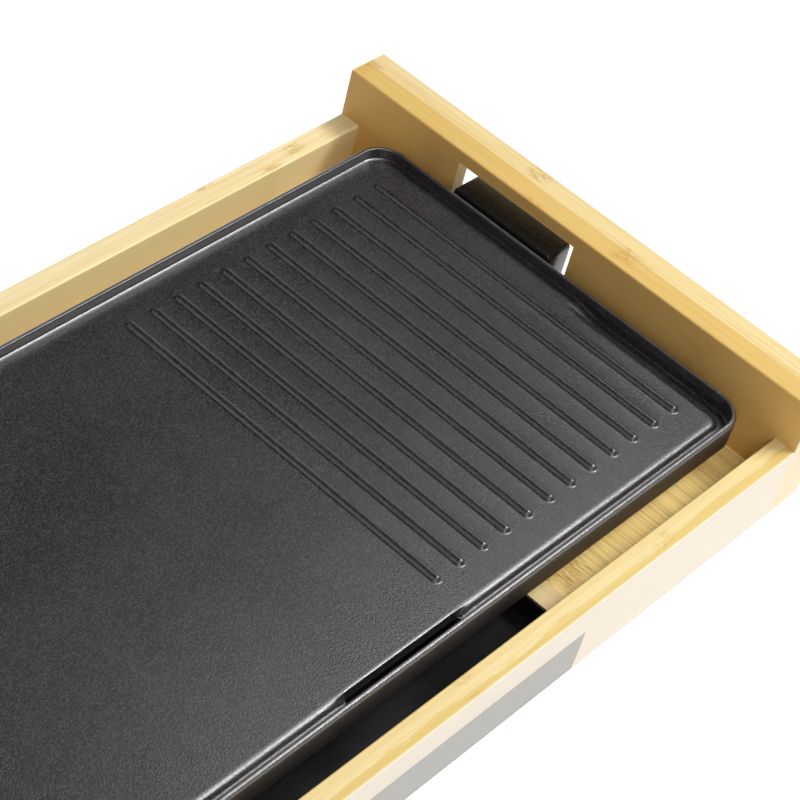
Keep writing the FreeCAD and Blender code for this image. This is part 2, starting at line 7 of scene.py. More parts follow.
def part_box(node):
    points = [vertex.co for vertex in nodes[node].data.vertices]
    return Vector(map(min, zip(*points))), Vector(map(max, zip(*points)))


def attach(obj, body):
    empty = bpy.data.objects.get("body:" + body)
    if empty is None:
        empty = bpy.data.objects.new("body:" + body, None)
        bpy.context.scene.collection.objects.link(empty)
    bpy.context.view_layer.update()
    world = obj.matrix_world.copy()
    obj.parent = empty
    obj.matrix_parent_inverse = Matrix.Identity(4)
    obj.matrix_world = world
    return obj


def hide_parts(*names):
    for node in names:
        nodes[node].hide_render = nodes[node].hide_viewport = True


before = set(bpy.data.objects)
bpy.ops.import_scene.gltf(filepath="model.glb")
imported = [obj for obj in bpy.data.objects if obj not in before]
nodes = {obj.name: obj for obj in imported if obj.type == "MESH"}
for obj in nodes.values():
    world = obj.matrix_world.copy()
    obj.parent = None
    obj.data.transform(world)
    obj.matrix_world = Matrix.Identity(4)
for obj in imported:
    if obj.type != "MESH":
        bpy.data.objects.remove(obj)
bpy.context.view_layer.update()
mm = 0.001


# camera, at the photograph's angle
cameraFacts = {
    "place": (-0.58826, -0.43605, 0.82357),
    "azimuth": -58.769,
    "elevation": 43.453,
    "roll": 16.010,
    "lens": 113.887,
    "sensor": 36.0,
}


def makeCamera():
    facts = cameraFacts
    data = bpy.data.cameras.new("camera")
    data.lens = facts["lens"]
    data.sensor_width = facts["sensor"]
    data.clip_start = 0.05
    data.clip_end = 20
    camera = bpy.data.objects.new("camera", data)
    bpy.context.scene.collection.objects.link(camera)
    turn = Matrix.Rotation(math.radians(facts["azimuth"]), 4, "Z")
    tilt = Matrix.Rotation(math.radians(90 - facts["elevation"]), 4, "X")
    roll = Matrix.Rotation(math.radians(facts["roll"]), 4, "Z")
    camera.matrix_world = Matrix.Translation(facts["place"]) @ turn @ tilt @ roll
    bpy.context.scene.camera = camera


makeCamera()
print("camera set")


# shader helpers
def newGroup(name, inputs, outputs):
    group = bpy.data.node_groups.new(name, "ShaderNodeTree")
    for label, kind, value in inputs:
        socket = group.interface.new_socket(label, in_out="INPUT", socket_type=kind)
        if value is not None:
            socket.default_value = value
    for label in outputs:
        group.interface.new_socket(label, in_out="OUTPUT", socket_type="NodeSocketFloat")
    return group, group.nodes.new("NodeGroupInput").outputs, group.nodes.new("NodeGroupOutput").inputs


def feed(tree, socket, value):
    if isinstance(value, bpy.types.NodeSocket):
        tree.links.new(value, socket)
    elif socket.type == "RGBA":
        socket.default_value = (*value, 1)
    else:
        socket.default_value = value


def findInput(node, label):
    plain = label.replace("_", " ").lower()
    if plain[:2] == "in" and plain[2:].isdigit():
        return node.inputs[int(plain[2:])]
    for socket in node.inputs:
        if socket.name.lower() == plain and socket.enabled:
            return socket
    raise KeyError(label)


def addNode(tree, kind, settings=None, **inputs):
    node = tree.nodes.new(kind)
    for key, value in (settings or {}).items():
        setattr(node, key, value)
    for label, value in inputs.items():
        feed(tree, findInput(node, label), value)
    return node


def mathNode(tree, operation, a, b=None, clamp=False):
    node = tree.nodes.new("ShaderNodeMath")
    node.operation = operation
    node.use_clamp = clamp
    feed(tree, node.inputs[0], a)
    if b is not None:
        feed(tree, node.inputs[1], b)
    return node.outputs[0]


def fromMiddle(tree, phase):
    return mathNode(tree, "ABSOLUTE", mathNode(tree, "SUBTRACT", phase, 0.5))


def mixColour(tree, factor, a, b):
    node = tree.nodes.new("ShaderNodeMix")
    node.data_type = "RGBA"
    for index, value in ((0, factor), (6, a), (7, b)):
        feed(tree, node.inputs[index], value)
    return node.outputs[2]


def rangeNode(tree, value, low, high, toLow=0.0, toHigh=1.0):
    node = tree.nodes.new("ShaderNodeMapRange")
    node.interpolation_type = "SMOOTHSTEP"
    tree.links.new(value, node.inputs["Value"])
    for label, setting in (("From Min", low), ("From Max", high), ("To Min", toLow), ("To Max", toHigh)):
        node.inputs[label].default_value = setting
    return node.outputs["Result"]


def noiseNode(tree, coordinate, scale, detail=3, roughness=0.5, distortion=0.0):
    # noise with its own scale along each axis
    mapping = tree.nodes.new("ShaderNodeMapping")
    mapping.inputs["Scale"].default_value = scale
    tree.links.new(coordinate, mapping.inputs["Vector"])
    node = addNode(tree, "ShaderNodeTexNoise", Vector=mapping.outputs["Vector"], Scale=1.0, Detail=detail,
                   Roughness=roughness, Distortion=distortion)
    return node.outputs["Fac"]


def groupNode(tree, group, **inputs):
    return addNode(tree, "ShaderNodeGroup", {"node_tree": group}, **inputs).outputs


def bumpNode(tree, height, strength, distance):
    return addNode(tree, "ShaderNodeBump", Strength=strength, Distance=distance, Height=height).outputs["Normal"]


def newMaterial(name):
    material = bpy.data.materials.new(name)
    material.use_nodes = True
    tree = material.node_tree
    tree.nodes.clear()
    output = tree.nodes.new("ShaderNodeOutputMaterial")
    shader = tree.nodes.new("ShaderNodeBsdfPrincipled")
    tree.links.new(shader.outputs[0], output.inputs["Surface"])
    coordinate = tree.nodes.new("ShaderNodeTexCoord").outputs["Object"]
    return material, tree, shader, coordinate


# bamboo: strips, fibres and knuckles; the grain runs along the X of the coordinate it is given
stripFacts = {
    "seed": 7.3, "shift": (3.7, 9.1), "slow": (5, 60, 60), "slowShare": 0.6,
    # each layer of fibres: scale, detail and roughness, span, share
    "fibres": (
        ((12, 820, 820), (2, 0.65), (0.42, 0.68), 0.5),
        ((7, 300, 300), (2, 0.6), (0.45, 0.7), 0.3),
        ((38, 1150, 1150), (1, 0.5), (0.58, 0.72), 0.5),
    ),
    "uneven": (1, 90, 90), "unevenReach": 0.012, "knuckleReach": (0.002, 0.009),
    "swirl": (160, 420, 420), "swirlNoise": (3, 0.65, 1.2), "swirlSpan": (0.35, 0.68),
    "seams": (0.47, 0.48),
}


def makeBambooGroup():
    f = stripFacts
    tree, start, end = newGroup(
        "bambooGrain",
        [("Vector", "NodeSocketVector", None), ("Strip Width", "NodeSocketFloat", 0.012),
         ("Strip Height", "NodeSocketFloat", 0.02), ("Strip Contrast", "NodeSocketFloat", 0.5),
         ("Knuckle Spacing", "NodeSocketFloat", 0.26)],
        ["Tone", "Fibre", "Knuckle", "Seam"])
    vector, spacing = start["Vector"], start["Knuckle Spacing"]
    parts = addNode(tree, "ShaderNodeSeparateXYZ", Vector=vector)
    across = mathNode(tree, "DIVIDE", parts.outputs["Y"], start["Strip Width"])
    upward = mathNode(tree, "DIVIDE", parts.outputs["Z"], start["Strip Height"])
    cell = addNode(tree, "ShaderNodeCombineXYZ", X=mathNode(tree, "FLOOR", across),
                   Y=mathNode(tree, "FLOOR", upward), Z=f["seed"])
    random = addNode(tree, "ShaderNodeTexWhiteNoise", {"noise_dimensions": "3D"}, Vector=cell.outputs[0])
    strip = random.outputs["Value"]
    # each strip has its own slow change along its length
    onward, sideways = [mathNode(tree, "MULTIPLY", strip, amount) for amount in f["shift"]]
    shifted = addNode(tree, "ShaderNodeCombineXYZ", X=onward, Y=sideways, Z=onward)
    moved = addNode(tree, "ShaderNodeVectorMath", {"operation": "ADD"}, in0=vector, in1=shifted.outputs[0])
    moved = moved.outputs[0]
    slow = mathNode(tree, "MULTIPLY", noiseNode(tree, moved, f["slow"], 2), f["slowShare"])
    tone = mathNode(tree, "ADD", mathNode(tree, "MULTIPLY", strip, start["Strip Contrast"]), slow)
    # fibres are fine lines along the grain
    layers = [mathNode(tree, "MULTIPLY", rangeNode(tree, noiseNode(tree, moved, scale, *noise), *span), share)
              for scale, noise, span, share in f["fibres"]]
    fibre = mathNode(tree, "ADD", mathNode(tree, "ADD", layers[0], layers[1]), layers[2], clamp=True)
    # a knuckle crosses each strip at its own place
    uneven = mathNode(tree, "MULTIPLY", noiseNode(tree, vector, f["uneven"], 1), f["unevenReach"])
    along = mathNode(tree, "ADD", mathNode(tree, "ADD", parts.outputs["X"], uneven),
                     mathNode(tree, "MULTIPLY", strip, spacing))
    phase = mathNode(tree, "FRACT", mathNode(tree, "DIVIDE", along, spacing))
    far = mathNode(tree, "MULTIPLY", fromMiddle(tree, phase), spacing)
    swirl = noiseNode(tree, moved, f["swirl"], *f["swirlNoise"])
    knuckle = mathNode(tree, "MULTIPLY", rangeNode(tree, far, *f["knuckleReach"], 1.0, 0.0),
                       rangeNode(tree, swirl, *f["swirlSpan"]))
    # thin glue seams between strips
    seams = [rangeNode(tree, fromMiddle(tree, mathNode(tree, "FRACT", place)), inner, 0.5)
             for place, inner in zip((across, upward), f["seams"])]
    seam = mathNode(tree, "MAXIMUM", *seams)
    for label, value in (("Tone", tone), ("Fibre", fibre), ("Knuckle", knuckle), ("Seam", seam)):
        tree.links.new(value, end[label])
    return tree


bambooGroup = makeBambooGroup()


# fine grain of a surface: a bump height and a mask of small flecks
fleckFacts = {"dot": (0.3, 0.7), "bright": (0.1, 1.0), "patchScale": 18.0}


def makeGrainGroup():
    f = fleckFacts
    tree, start, end = newGroup(
        "surfaceGrain", [("Vector", "NodeSocketVector", None), ("Grain Size", "NodeSocketFloat", 0.0005)],
        ["Height", "Flecks", "Patches"])
    vector = start["Vector"]
    scale = mathNode(tree, "DIVIDE", 1.0, start["Grain Size"])
    grain = addNode(tree, "ShaderNodeTexNoise", Vector=vector, Scale=scale, Detail=2.0, Roughness=0.6)
    cells = addNode(tree, "ShaderNodeTexVoronoi", {"feature": "F1"}, Vector=vector, Scale=scale)
    chosen = addNode(tree, "ShaderNodeSeparateColor", Color=cells.outputs["Color"])
    flecks = mathNode(tree, "MULTIPLY", rangeNode(tree, cells.outputs["Distance"], *f["dot"], 1.0, 0.0),
                      rangeNode(tree, chosen.outputs[0], *f["bright"]))
    patches = addNode(tree, "ShaderNodeTexNoise", Vector=vector, Scale=f["patchScale"], Detail=3.0)
    tree.links.new(grain.outputs["Fac"], end["Height"])
    tree.links.new(flecks, end["Flecks"])
    tree.links.new(patches.outputs["Fac"], end["Patches"])
    return tree


grainGroup = makeGrainGroup()


woodFacts = {
    "uneven": (22, 200, 200), "unevenNoise": (3, 0.6), "bandEdge": 0.0004, "ramp": (0.15, 0.85),
    # edges of the painted shading on inner faces and of the painted light on outward faces
    "insideEdge": (0.0001, 0.0008), "paintedOutsideLightEdge": (-0.0008, -0.0001), "paintedOutsideLightShare": 0.85,
    "rough": (0.42, 0.56), "specular": 0.3, "bump": 0.3, "depth": 0.0002,
}


def makeBamboo(name, facts):
    w = woodFacts
    material, tree, shader, coordinate = newMaterial(name)
    mapping = tree.nodes.new("ShaderNodeMapping")
    mapping.inputs["Rotation"].default_value = facts.get("turn", (0, 0, 0))
    mapping.inputs["Location"].default_value = facts.get("shift", (0, 0, 0))
    fine = facts.get("fine", 1.0)
    mapping.inputs["Scale"].default_value = facts.get("fineAlong", (1.0, fine, fine))
    tree.links.new(coordinate, mapping.inputs["Vector"])
    grain = mapping.outputs[0]
    wood = groupNode(tree, bambooGroup, Vector=grain, Strip_Width=facts["stripWidth"] * fine,
                     Strip_Height=facts["stripHeight"] * fine, Strip_Contrast=facts["contrast"],
                     Knuckle_Spacing=facts["knuckles"])
    tone = wood["Tone"]
    place = addNode(tree, "ShaderNodeSeparateXYZ", Vector=coordinate)
    away = [mathNode(tree, "ABSOLUTE", place.outputs[axis]) for axis in "XY"]
    if "band" in facts:
        # the board's inner and outer strips differ, and meet along an uneven line
        axis, middle, wobble, inner, outer = facts["band"]
        uneven = mathNode(tree, "SUBTRACT", noiseNode(tree, grain, w["uneven"], *w["unevenNoise"]), 0.5)
        line = mathNode(tree, "ADD", away[axis], mathNode(tree, "MULTIPLY", uneven, wobble))
        band = rangeNode(tree, line, middle - w["bandEdge"], middle + w["bandEdge"], inner, outer)
        tone = mathNode(tree, "ADD", tone, band)
    ramp = tree.nodes.new("ShaderNodeValToRGB")
    for element, position, shade in zip(ramp.color_ramp.elements, w["ramp"], ("dark", "light")):
        element.position = position
        element.color = (*facts[shade], 1)
    tree.links.new(tone, ramp.inputs["Fac"])
    base = ramp.outputs["Color"]
    effects = (("Fibre", "fibre", "line"), ("Knuckle", "knuckle", "knot"), ("Seam", "seam", "knot"))
    for effect, amount, shade in effects:
        base = mixColour(tree, mathNode(tree, "MULTIPLY", wood[effect], facts[amount]), base, facts[shade])
    if "inside" in facts:
        # painted light and shade: the face towards the plate is painted a warmer, browner tone, standing in for
        # its shade and the warm light bounced between the boards
        inner, share, shade = facts["inside"]
        inward = mathNode(tree, "SUBTRACT", away[facts["band"][0]], inner)
        base = mixColour(tree, rangeNode(tree, inward, *w["insideEdge"], share, 0.0), base, shade)
    if "paintedOutsideLight" in facts:
        # painted light: the faces that look outwards are painted paler, as if brightly lit
        beyond = mathNode(tree, "MAXIMUM", *[mathNode(tree, "SUBTRACT", reach, half)
                                             for reach, half in zip(away, boardHalves)])
        base = mixColour(tree, rangeNode(tree, beyond, *w["paintedOutsideLightEdge"], 0.0, w["paintedOutsideLightShare"]), base,
                         facts["paintedOutsideLight"])
    tree.links.new(base, shader.inputs["Base Color"])
    tree.links.new(rangeNode(tree, wood["Fibre"], 0.0, 1.0, *w["rough"]), shader.inputs["Roughness"])
    shader.inputs["Specular IOR Level"].default_value = w["specular"]
    height = mathNode(tree, "SUBTRACT", 1.0, mathNode(tree, "MULTIPLY", wood["Fibre"], 0.5))
    tree.links.new(bumpNode(tree, height, w["bump"], w["depth"]), shader.inputs["Normal"])
    return material


# half the frame's width and depth
boardHalves = (0.2635, 0.145)
quarter = math.radians(90)
bambooFacts = {
    "frontBamboo": {
        "stripWidth": 0.0062, "stripHeight": 0.021, "contrast": 0.25, "knuckles": 0.23,
        "band": (1, 0.1405, 0.009, 0.25, -0.3), "light": (0.83, 0.68, 0.36), "dark": (0.73, 0.54, 0.18),
        "line": (0.70, 0.47, 0.15), "knot": (0.58, 0.34, 0.08), "fibre": 0.5, "knuckle": 0.6,
        # painted light: a paler tone on the outward faces, as if brightly lit
        "seam": 0.1, "paintedOutsideLight": (0.86, 0.79, 0.71),
    },
    "sideBamboo": {
        "stripWidth": 0.0062, "stripHeight": 0.021, "contrast": 0.35, "knuckles": 0.21,
        "shift": (0.031, 0, 0), "light": (0.96, 0.84, 0.54), "dark": (0.88, 0.68, 0.32),
        "line": (0.68, 0.45, 0.16), "knot": (0.58, 0.34, 0.09), "fibre": 0.5, "knuckle": 0.7,
        # painted light: a paler tone on the outward faces, as if brightly lit
        "seam": 0.1, "paintedOutsideLight": (0.92, 0.82, 0.62), "band": (1, 0.1390, 0.004, 0.0, 0.1),
        # painted light: a warmer tone on the inner face, standing in for light bounced between the boards
        "inside": (0.133, 0.7, (0.99, 0.79, 0.40)),
    },
    "endBamboo": {
        "turn": (0, 0, quarter), "stripWidth": 0.0121, "stripHeight": 0.0232, "contrast": 0.25,
        "knuckles": 0.17, "band": (0, 0.2513, 0.003, -0.25, 0.3), "light": (0.82, 0.67, 0.35),
        "dark": (0.71, 0.48, 0.15), "line": (0.62, 0.39, 0.11), "knot": (0.52, 0.29, 0.07),
        # painted light: a paler tone on the outward faces, as if brightly lit
        "fibre": 0.6, "knuckle": 0.75, "seam": 0.15, "paintedOutsideLight": (0.90, 0.78, 0.55),
        # painted shade: a browner tone on the inner face, standing in for its shade
        "inside": (0.2395, 0.6, (0.92, 0.54, 0.17)),
    },
    "floorBamboo": {
        "turn": (0, 0, quarter), "fineAlong": (1.8, 1.0, 1.8), "fine": 1.8, "stripWidth": 0.018,
        "stripHeight": 0.009, "contrast": 0.35, "knuckles": 0.19, "light": (1.0, 0.80, 0.34),
        "dark": (0.93, 0.66, 0.23), "line": (0.40, 0.20, 0.05), "knot": (0.42, 0.21, 0.05),
        "fibre": 0.75, "knuckle": 0.75, "seam": 0.2,
    },
    "stripBamboo": {
        "turn": (0, 0, quarter), "stripWidth": 0.013, "stripHeight": 0.009, "contrast": 0.2,
        "knuckles": 0.3, "light": (0.92, 0.76, 0.46), "dark": (0.84, 0.64, 0.30),
        "line": (0.66, 0.44, 0.18), "knot": (0.54, 0.33, 0.11), "fibre": 0.5, "knuckle": 0.5,
        "seam": 0.1,
    },
}
materials = {name: makeBamboo(name, facts) for name, facts in bambooFacts.items()}


patchSpan = (0.3, 0.7)


def makeGrained(name, facts):
    material, tree, shader, coordinate = newMaterial(name)
    grain = groupNode(tree, grainGroup, Vector=coordinate, Grain_Size=facts["grain"])
    tone = mixColour(tree, rangeNode(tree, grain["Patches"], *patchSpan), facts["colour"], facts["second"])
    tone = mixColour(tree, mathNode(tree, "MULTIPLY", grain["Flecks"], facts["flecks"]), tone, facts["fleck"])
    tree.links.new(tone, shader.inputs["Base Color"])
    rough = rangeNode(tree, grain["Patches"], *patchSpan, *facts["rough"])
    tree.links.new(rough, shader.inputs["Roughness"])
    shader.inputs["Metallic"].default_value = facts.get("metal", 0.0)
    shader.inputs["IOR"].default_value = facts.get("ior", 1.5)
    shader.inputs["Specular IOR Level"].default_value = facts.get("specular", 0.5)
    tree.links.new(bumpNode(tree, grain["Height"], facts["bump"], facts["depth"]), shader.inputs["Normal"])
    return material


grainedFacts = {
    "castCoating": {
        "colour": (0.004, 0.0037, 0.0043), "second": (0.006, 0.0056, 0.0064),
        "fleck": (0.215, 0.18, 0.22), "flecks": 0.27, "grain": 0.0007, "rough": (0.29, 0.33),
        "bump": 1.0, "depth": 0.00012, "specular": 0.75, "ior": 1.7,
    },
    "trayEnamel": {
        "colour": (0.006, 0.006, 0.0065), "second": (0.009, 0.009, 0.0095), "fleck": (0.05, 0.05, 0.05),
        "flecks": 0.2, "grain": 0.0008, "rough": (0.28, 0.4), "bump": 0.2, "depth": 0.00005,
    },
    "drawerGrey": {
        "colour": (0.36, 0.352, 0.338), "second": (0.40, 0.39, 0.373), "fleck": (0.5, 0.49, 0.48),
        "flecks": 0.1, "grain": 0.0006, "rough": (0.4, 0.52), "bump": 0.2, "depth": 0.00004,
    },
    "phenolic": {
        "colour": (0.010, 0.010, 0.011), "second": (0.013, 0.013, 0.014), "fleck": (0.05, 0.05, 0.05),
        "flecks": 0.08, "grain": 0.001, "rough": (0.16, 0.24), "bump": 0.08, "depth": 0.00003,
        "specular": 0.3,
    },
    "mattMoulding": {
        "colour": (0.03, 0.03, 0.03), "second": (0.04, 0.04, 0.04), "fleck": (0.08, 0.08, 0.08),
        "flecks": 0.2, "grain": 0.0006, "rough": (0.55, 0.7), "bump": 0.3, "depth": 0.00005,
    },
    "footRubber": {
        "colour": (0.028, 0.028, 0.028), "second": (0.045, 0.045, 0.044), "fleck": (0.1, 0.1, 0.1),
        "flecks": 0.15, "grain": 0.0007, "rough": (0.75, 0.9), "bump": 0.4, "depth": 0.00006,
    },
    "sheetSteel": {
        "colour": (0.55, 0.56, 0.57), "second": (0.64, 0.65, 0.65), "fleck": (0.75, 0.76, 0.76),
        "flecks": 0.3, "grain": 0.004, "rough": (0.3, 0.45), "bump": 0.1, "depth": 0.00003,
        "metal": 1.0,
    },
    "sheathSteel": {
        "colour": (0.20, 0.19, 0.18), "second": (0.30, 0.27, 0.24), "fleck": (0.4, 0.38, 0.36),
        "flecks": 0.2, "grain": 0.0008, "rough": (0.4, 0.6), "bump": 0.25, "depth": 0.00004,
        "metal": 1.0,
    },
    "zincScrew": {
        "colour": (0.60, 0.60, 0.58), "second": (0.70, 0.69, 0.66), "fleck": (0.8, 0.8, 0.78),
        "flecks": 0.2, "grain": 0.0005, "rough": (0.25, 0.4), "bump": 0.15, "depth": 0.00002,
        "metal": 1.0,
    },
    "nickel": {
        "colour": (0.72, 0.70, 0.66), "second": (0.80, 0.78, 0.74), "fleck": (0.9, 0.88, 0.85),
        "flecks": 0.1, "grain": 0.0006, "rough": (0.16, 0.28), "bump": 0.08, "depth": 0.00002,
        "metal": 1.0,
    },
    "steatite": {
        "colour": (0.80, 0.77, 0.70), "second": (0.86, 0.84, 0.78), "fleck": (0.6, 0.56, 0.5),
        "flecks": 0.2, "grain": 0.0006, "rough": (0.5, 0.65), "bump": 0.3, "depth": 0.00004,
    },
    "dowelBeech": {
        "colour": (0.72, 0.52, 0.31), "second": (0.80, 0.61, 0.38), "fleck": (0.5, 0.32, 0.16),
        "flecks": 0.4, "grain": 0.0008, "rough": (0.6, 0.7), "bump": 0.3, "depth": 0.00005,
    },
}
materials.update({name: makeGrained(name, facts) for name, facts in grainedFacts.items()})
print("materials made")

nodeFinish = {
    "front_board": "frontBamboo", "back_board": "sideBamboo", "left_end_board": "endBamboo",
    "right_end_board": "endBamboo", "floor_panel_left": "floorBamboo", "floor_panel_right": "floorBamboo",
    "floor_panel_rear": "floorBamboo", "floor_strip_left": "stripBamboo", "floor_strip_right": "stripBamboo",
    "tray_runner_left": "endBamboo", "tray_runner_right": "endBamboo", "tray_stop": "sideBamboo",
    "corner_dowels": "dowelBeech", "rubber_feet": "footRubber", "foot_screws": "zincScrew",
    "runner_screws": "zincScrew", "drip_tray": "trayEnamel", "drip_tray_front": "drawerGrey",
    "tray_screws": "zincScrew", "grill_plate": "castCoating", "heating_element": "sheathSteel",
    "element_clamps": "sheetSteel", "clamp_screws": "zincScrew", "heat_shield": "sheetSteel",
    "shield_screws": "zincScrew", "plate_legs": "mattMoulding", "leg_pads": "footRubber",
    "leg_screws": "zincScrew", "socket_bracket": "sheetSteel", "bracket_screws": "zincScrew",
    "socket_housing_upper": "phenolic", "socket_housing_lower": "phenolic", "housing_screws": "zincScrew",
    "terminal_insulators": "steatite", "contact_pins": "nickel", "probe_sleeve": "nickel",
    "earth_contact": "nickel",
}
for name, finish in nodeFinish.items():
    nodes[name].data.materials.clear()
    nodes[name].data.materials.append(materials[finish])
print("finishes on the frame's own pieces")


def finishMesh(bm, name, material, body, replaced, sharp):
    bmesh.ops.remove_doubles(bm, verts=bm.verts, dist=1e-6)
    bmesh.ops.recalc_face_normals(bm, faces=bm.faces)
    markSharp(bm, sharp)
    mesh = bpy.data.meshes.new(name)
    bm.to_mesh(mesh)
    bm.free()
    piece = bpy.data.objects.new(name, mesh)
    bpy.context.scene.collection.objects.link(piece)
    mesh.materials.append(materials[material])
    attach(piece, body)
    for node in replaced:
        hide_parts(node)


def markSharp(bm, degrees):
    limit = math.radians(degrees)
    for face in bm.faces:
        face.smooth = True
    for edge in bm.edges:
        edge.smooth = len(edge.link_faces) == 2 and edge.calc_face_angle(0) < limit


def scratchObject(bm, name):
    mesh = bpy.data.meshes.new(name)
    bm.to_mesh(mesh)
    bm.free()
    piece = bpy.data.objects.new(name, mesh)
    bpy.context.scene.collection.objects.link(piece)
    return piece


def combined(base, other, operation):
    # the first mesh after a boolean with the second, which is then removed
    modifier = base.modifiers.new("join", "BOOLEAN")
    modifier.object = other
    modifier.operation = operation
    modifier.solver = "EXACT"
    depsgraph = bpy.context.evaluated_depsgraph_get()
    depsgraph.update()
    mesh = bpy.data.meshes.new_from_object(base.evaluated_get(depsgraph))
    base.modifiers.clear()
    base.data = mesh
    bpy.data.objects.remove(other)
    return base


def smoothStep(value):
    value = max(0.0, min(1.0, value))
    return value * value * (3 - 2 * value)


# the hot plate
plateFacts = {
    "right": 228.0, "front": -121.8, "back": 109.6, "skirt": 46.4, "top": 60.9, "corner": 15.0,
    "rim": 2.6, "rimOuter": 2.0, "rimInner": 0.6, "outerAngles": (15, 30, 45, 60, 75, 90),
    "innerAngles": (22, 45, 68, 90), "cornerSegments": 16,
    "deck": 54.4, "deckUnder": 49.0, "wallRound": 1.1, "roundReach": 0.97,
    "channelDepth": 2.4, "channelStart": -19.0, "channelRamp": 18.0,
    "plateauRight": 217.5, "plateauFront": -112.5, "plateauBack": 159.6, "plateauCorner": 5.0,
    "plateauStart": 1.7, "plateauEdge": (4.0, 1.0, 48),
    "drainHalf": 35.0, "drainWidth": 6.4, "drainMiddle": -115.7, "drainRamp": 11.0, "drainLip": 1.0,
    "drainSegments": 10, "drainEnd": 0.999, "dip": 0.5, "dipBack": 2.0, "dipStart": 0.5,
    "ribs": 12, "ribPitch": 15.0, "ribFirst": 40.5, "ribFront": -95.4, "ribBack": 89.5, "ribHeight": 2.3,
    "ribEdge": (1.8, 1.2, 62),
    "wallInside": 2.5, "skirtInside": 1.0, "cutMargin": 5.0,
    "underside": 49.8, "underGap": 0.3, "underDepth": 15.0, "underSegments": 12,
    "notch": ((222.8, 12.05, 41.4), (229.0, 56.05, 49.4)), "sharp": 38,
}
# the deck's grid: how far it goes past the wall's face, and its spacing in each part
gridFacts = {
    "past": 0.4, "slack": 0.01, "widest": 9.0, "least": 0.25, "curve": 0.6, "bendMargin": 1.0,
    "rib": 0.3, "ribSide": 3.0, "ribOut": 3.3, "ribIn": 1.2,
    "front": 0.5, "frontReach": 3.0, "drain": 1.0, "drainIn": 6.0, "channel": 1.5, "channelMargin": 1.0,
    "weld": 2e-5,
}


def roundedDistance(x, y, x0, x1, y0, y1, radius):
    # signed distance to a rectangle with round corners, negative inside
    dx = max(x0 + radius - x, x - x1 + radius)
    dy = max(y0 + radius - y, y - y1 + radius)
    paintedOutsideLight = math.hypot(max(dx, 0), max(dy, 0))
    return paintedOutsideLight + min(max(dx, dy), 0) - radius


def roundedStep(distance, height, crown, foot, degrees):
    # how far a round-edged step has dropped: a crown arc, a straight slope and a foot arc
    sine, cosine = math.sin(math.radians(degrees)), math.cos(math.radians(degrees))
    run = (height - (crown + foot) * (1 - cosine)) / sine
    width = (crown + foot) * sine + run * cosine
    if distance <= 0:
        return 0.0
    if distance >= width:
        return height
    if distance < crown * sine:
        return crown - math.sqrt(crown ** 2 - distance ** 2)
    if distance > width - foot * sine:
        return height - foot + math.sqrt(foot ** 2 - (width - distance) ** 2)
    return crown * (1 - cosine) + (distance - crown * sine) * sine / cosine


def plateSurface(x, y):
    p = plateFacts
    inner = p["right"] - p["rim"]
    z = p["deck"]
    edge = roundedDistance(x, y, -p["plateauRight"], p["plateauRight"], p["plateauFront"], p["plateauBack"],
                           p["plateauCorner"])
    along = smoothStep((p["channelStart"] - y) / p["channelRamp"])
    z -= along * roundedStep(edge + p["plateauStart"], p["channelDepth"], *p["plateauEdge"])
    # short ramps into the drain, and its soft lip
    lip = p["drainLip"]
    away = abs(x) - p["drainHalf"] + p["drainWidth"] / 2
    drain = math.hypot(max(away, 0), y - p["drainMiddle"]) - p["drainWidth"] / 2
    if y < p["plateauFront"] + p["dipBack"]:
        ramp = smoothStep(1 - away / p["drainRamp"]) * smoothStep(edge + p["dipStart"])
        z -= p["dip"] * p["channelDepth"] * ramp
    if 0 <= drain < lip:
        z -= lip * (1 - math.sqrt(max(0.0, 1 - (1 - drain / lip) ** 2)))
    elif drain < 0:
        z -= lip
    wall = -roundedDistance(x, y, -inner, inner, p["front"] + p["rim"], p["back"] - p["rim"],
                            p["corner"] - p["rim"])
    if wall < p["wallRound"]:
        reach = min(p["roundReach"] * p["wallRound"], p["wallRound"] - wall)
        z += p["wallRound"] - math.sqrt(p["wallRound"] ** 2 - reach ** 2)
    if x > p["ribFirst"] - p["ribPitch"] / 2:
        index = min(p["ribs"] - 1, round((x - p["ribFirst"]) / p["ribPitch"]))
        beyond = max(y - p["ribBack"], p["ribFront"] - y, 0)
        far = math.hypot(x - p["ribFirst"] - index * p["ribPitch"], beyond)
        z += p["ribHeight"] - roundedStep(far, p["ribHeight"], *p["ribEdge"])
    return z


def steps(start, end, size):
    count = max(1, round(abs(end - start) / size))
    return [start + (end - start) * i / count for i in range(count + 1)]


def fillGaps(marks, widest):
    # sorted places with no gap wider than the given one
    marks = sorted(set(round(mark, 4) for mark in marks))
    filled = [marks[0]]
    for mark in marks[1:]:
        filled += steps(filled[-1], mark, (mark - filled[-1]) / math.ceil((mark - filled[-1]) / widest))[1:]
    return filled


def thinned(marks, least):
    kept = [marks[0]]
    for mark in marks[1:-1]:
        if mark - kept[-1] > least and marks[-1] - mark > least:
            kept.append(mark)
    return kept + [marks[-1]]


